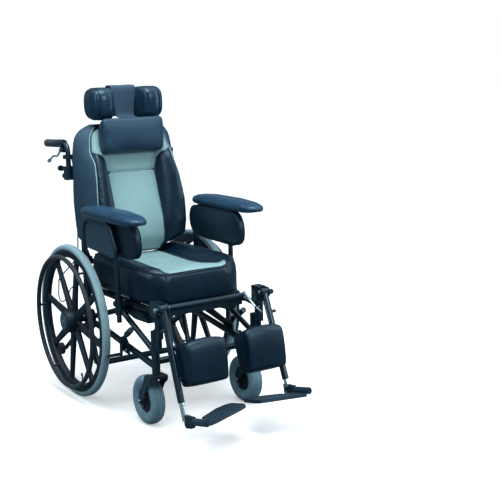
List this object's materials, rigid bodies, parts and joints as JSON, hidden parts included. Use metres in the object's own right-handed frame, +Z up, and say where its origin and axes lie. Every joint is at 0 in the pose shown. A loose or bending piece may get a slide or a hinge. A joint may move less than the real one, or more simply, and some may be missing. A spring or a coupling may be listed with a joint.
{
  "type": "reclining wheelchair",
  "caption": "Manual tilt and recline wheelchair with a padded winged seat and back, headrest with neck pillow, armrests, large rear wheels with handrims, casters and elevating legrests.",
  "frame": {"origin": "on the floor, under the middle of the bounding box", "axes": "+Z up, -Y towards the feet (forward), +X to the sitter's left"},
  "size_m": [0.6704, 1.2228, 1.234],
  "materials": {
    "black_paint": "semi-gloss black powder coat",
    "black_plastic": "moulded, fine texture",
    "grey_tyre": "non-marking light grey rubber",
    "chrome_plate": "polished",
    "steel": "zinc plated",
    "leather": "black artificial leather with a soft sheen",
    "grey_fabric": "dark blue-grey woven cloth",
    "black_rubber": "matt",
    "skirt_panel": "satin sheet",
    "cable_sheath": "satin sheath"
  },
  "bodies": {
    "base": {"base_frame": "black_paint", "wheel_lock_bracket_left": "black_paint", "wheel_lock_bracket_right": "black_paint"},
    "wheel_left": {"rear_tyre_left": "grey_tyre", "rear_wheel_left": "black_plastic", "handrim_left": "black_rubber"},
    "wheel_right": {"rear_tyre_right": "grey_tyre", "rear_wheel_right": "black_plastic", "handrim_right": "black_rubber"},
    "fork_left": {"caster_fork_left": "black_paint"},
    "fork_right": {"caster_fork_right": "black_paint"},
    "caster_left": {"caster_tyre_left": "grey_tyre", "caster_hub_left": "black_plastic"},
    "caster_right": {"caster_tyre_right": "grey_tyre", "caster_hub_right": "black_plastic"},
    "anti_tip_left": {"anti_tip_wheel_left": "black_rubber"},
    "anti_tip_right": {"anti_tip_wheel_right": "black_rubber"},
    "lock_left": {"wheel_lock_lever_left": "black_paint"},
    "lock_right": {"wheel_lock_lever_right": "black_paint"},
    "seat": {"seat_frame": "black_paint", "seat_cushion": "leather", "tilt_cable_lower": "cable_sheath"},
    "arm_left": {"armrest_frame_left": "black_paint", "arm_pad_left": "leather", "arm_side_cushion_left": "leather", "arm_skirt_left": "skirt_panel"},
    "arm_right": {"armrest_frame_right": "black_paint", "arm_pad_right": "leather", "arm_side_cushion_right": "leather", "arm_skirt_right": "skirt_panel"},
    "back": {"back_frame": "black_paint", "back_cushion": "leather", "recline_cable": "cable_sheath", "tilt_cable_upper": "cable_sheath"},
    "head_stem": {"headrest_stem": "chrome_plate"},
    "head": {"head_pad": "leather", "headrest_strap": "grey_fabric", "neck_pillow": "grey_fabric"},
    "handle_left": {"push_handle_left": "black_paint", "handle_grip_left": "black_rubber"},
    "handle_right": {"push_handle_right": "black_paint", "handle_grip_right": "black_rubber"},
    "release_left": {"handle_lever_left": "chrome_plate"},
    "release_right": {"handle_lever_right": "chrome_plate"},
    "hanger_left": {"leg_hanger_left": "black_paint"},
    "hanger_right": {"leg_hanger_right": "black_paint"},
    "leg_left": {"leg_tube_left": "black_paint", "calf_pad_left": "leather"},
    "leg_right": {"leg_tube_right": "black_paint", "calf_pad_right": "leather"},
    "foot_left": {"foot_slide_left": "chrome_plate"},
    "foot_right": {"foot_slide_right": "chrome_plate"},
    "plate_left": {"footplate_left": "black_plastic"},
    "plate_right": {"footplate_right": "black_plastic"},
    "catch_left": {"hanger_lever_left": "steel"},
    "catch_right": {"hanger_lever_right": "steel"},
    "tilt_cylinder": {"tilt_spring_cylinder": "black_paint"},
    "tilt_rod": {"tilt_spring_rod": "chrome_plate"},
    "recline_cylinder": {"recline_spring_cylinder": "black_paint"},
    "recline_rod": {"recline_spring_rod": "chrome_plate"}
  },
  "joints": [
    {"name": "rear_wheel_left_spin", "type": "hinge", "parent": "base", "child": "wheel_left", "pos_m": [0.2833, 0.30385, 0.3075], "axis": [1, 0, 0], "continuous": true},
    {"name": "rear_wheel_right_spin", "type": "hinge", "parent": "base", "child": "wheel_right", "pos_m": [-0.2833, 0.30385, 0.3075], "axis": [1, 0, 0], "continuous": true},
    {"name": "caster_left_swivel", "type": "hinge", "parent": "base", "child": "fork_left", "pos_m": [0.2135, -0.25115, 0.24], "axis": [0, 0, 1], "continuous": true},
    {"name": "caster_right_swivel", "type": "hinge", "parent": "base", "child": "fork_right", "pos_m": [-0.2135, -0.25115, 0.24], "axis": [0, 0, 1], "continuous": true},
    {"name": "caster_left_roll", "type": "hinge", "parent": "fork_left", "child": "caster_left", "pos_m": [0.2135, -0.18315, 0.0925], "axis": [1, 0, 0], "continuous": true},
    {"name": "caster_right_roll", "type": "hinge", "parent": "fork_right", "child": "caster_right", "pos_m": [-0.2135, -0.18315, 0.0925], "axis": [1, 0, 0], "continuous": true},
    {"name": "anti_tip_left_roll", "type": "hinge", "parent": "base", "child": "anti_tip_left", "pos_m": [0.2345, 0.56985, 0.1235], "axis": [1, 0, 0], "continuous": true},
    {"name": "anti_tip_right_roll", "type": "hinge", "parent": "base", "child": "anti_tip_right", "pos_m": [-0.2345, 0.56985, 0.1235], "axis": [1, 0, 0], "continuous": true},
    {"name": "wheel_lock_left", "type": "hinge", "parent": "base", "child": "lock_left", "pos_m": [0.2425, -0.04115, 0.29], "axis": [1, 0, 0], "range_deg": [0, 23]},
    {"name": "wheel_lock_right", "type": "hinge", "parent": "base", "child": "lock_right", "pos_m": [-0.2425, -0.04115, 0.29], "axis": [1, 0, 0], "range_deg": [0, 23]},
    {"name": "seat_tilt", "type": "hinge", "parent": "base", "child": "seat", "pos_m": [0, 0.01385, 0.4], "axis": [-1, 0, 0], "range_deg": [0, 20]},
    {"name": "armrest_left_height", "type": "slide", "parent": "seat", "child": "arm_left", "axis": [0, 0, 1], "range_m": [0, 0.07]},
    {"name": "armrest_right_height", "type": "slide", "parent": "seat", "child": "arm_right", "axis": [0, 0, 1], "range_m": [0, 0.07]},
    {"name": "back_recline", "type": "hinge", "parent": "seat", "child": "back", "pos_m": [0, 0.36385, 0.535], "axis": [-1, 0, 0], "range_deg": [0, 50]},
    {"name": "headrest_height", "type": "slide", "parent": "back", "child": "head_stem", "axis": [0, 0, 1], "range_m": [0, 0.1]},
    {"name": "headrest_angle", "type": "hinge", "parent": "head_stem", "child": "head", "pos_m": [0, 0.39935, 1.088], "axis": [-1, 0, 0], "range_deg": [0, 20]},
    {"name": "push_handle_left_height", "type": "slide", "parent": "back", "child": "handle_left", "axis": [0, 0, 1], "range_m": [0, 0.045]},
    {"name": "push_handle_right_height", "type": "slide", "parent": "back", "child": "handle_right", "axis": [0, 0, 1], "range_m": [0, 0.045]},
    {"name": "recline_release", "type": "hinge", "parent": "handle_left", "child": "release_left", "pos_m": [0.2285, 0.45185, 0.979], "axis": [1, 0, 0], "range_deg": [0, 16], "stiffness_Nm_per_rad": 1.5},
    {"name": "tilt_release", "type": "hinge", "parent": "handle_right", "child": "release_right", "pos_m": [-0.2285, 0.45185, 0.979], "axis": [1, 0, 0], "range_deg": [0, 16], "stiffness_Nm_per_rad": 1.5},
    {"name": "legrest_left_swing", "type": "hinge", "parent": "seat", "child": "hanger_left", "pos_m": [0.2145, -0.28015, 0.4], "axis": [0, 0, 1], "range_deg": [0, 60]},
    {"name": "legrest_right_swing", "type": "hinge", "parent": "seat", "child": "hanger_right", "pos_m": [-0.2145, -0.28015, 0.4], "axis": [0, 0, -1], "range_deg": [0, 60]},
    {"name": "legrest_left_raise", "type": "hinge", "parent": "hanger_left", "child": "leg_left", "pos_m": [0.2165, -0.32415, 0.462], "axis": [-1, 0, 0], "range_deg": [0, 60]},
    {"name": "legrest_right_raise", "type": "hinge", "parent": "hanger_right", "child": "leg_right", "pos_m": [-0.2165, -0.32415, 0.462], "axis": [-1, 0, 0], "range_deg": [0, 64]},
    {"name": "foot_left_length", "type": "slide", "parent": "leg_left", "child": "foot_left", "axis": [0, -0.3859, -0.9225], "range_m": [-0.01, 0.05]},
    {"name": "foot_right_length", "type": "slide", "parent": "leg_right", "child": "foot_right", "axis": [0, -0.3305, -0.9438], "range_m": [-0.015, 0.05]},
    {"name": "footplate_left_fold", "type": "hinge", "parent": "foot_left", "child": "plate_left", "pos_m": [0.2145, -0.46115, 0.116], "axis": [0, 0.977, -0.2133], "range_deg": [0, 24]},
    {"name": "footplate_right_fold", "type": "hinge", "parent": "foot_right", "child": "plate_right", "pos_m": [-0.2145, -0.46615, 0.0875], "axis": [0, -0.975, 0.2223], "range_deg": [0, 23]},
    {"name": "legrest_left_release", "type": "hinge", "parent": "hanger_left", "child": "catch_left", "pos_m": [0.198, -0.29915, 0.4], "axis": [1, 0, 0], "range_deg": [0, 12], "stiffness_Nm_per_rad": 0.6},
    {"name": "legrest_right_release", "type": "hinge", "parent": "hanger_right", "child": "catch_right", "pos_m": [-0.198, -0.29915, 0.4], "axis": [1, 0, 0], "range_deg": [0, 12], "stiffness_Nm_per_rad": 0.6},
    {"name": "tilt_spring_pivot", "type": "hinge", "parent": "base", "child": "tilt_cylinder", "pos_m": [0.06, 0.25835, 0.156], "axis": [1, 0, 0], "range_deg": [0, 7.6]},
    {"name": "tilt_spring_stroke", "type": "slide", "parent": "tilt_cylinder", "child": "tilt_rod", "axis": [0, -0.2899, 0.9571], "range_m": [-0.0535, 0]},
    {"name": "recline_spring_pivot", "type": "hinge", "parent": "seat", "child": "recline_cylinder", "pos_m": [-0.06, 0.41585, 0.4], "axis": [-1, 0, 0], "range_deg": [0, 26]},
    {"name": "recline_spring_stroke", "type": "slide", "parent": "recline_cylinder", "child": "recline_rod", "axis": [0, 0.0957, 0.9954], "range_m": [-0.082, 0]}
  ],
  "couplings": [
    {"joint": "tilt_spring_pivot", "follows": "seat_tilt", "ratio": 0.364},
    {"joint": "tilt_spring_stroke", "follows": "seat_tilt", "m_per_rad": -0.147},
    {"joint": "recline_spring_pivot", "follows": "back_recline", "ratio": 0.507},
    {"joint": "recline_spring_stroke", "follows": "back_recline", "m_per_rad": -0.0907}
  ]
}
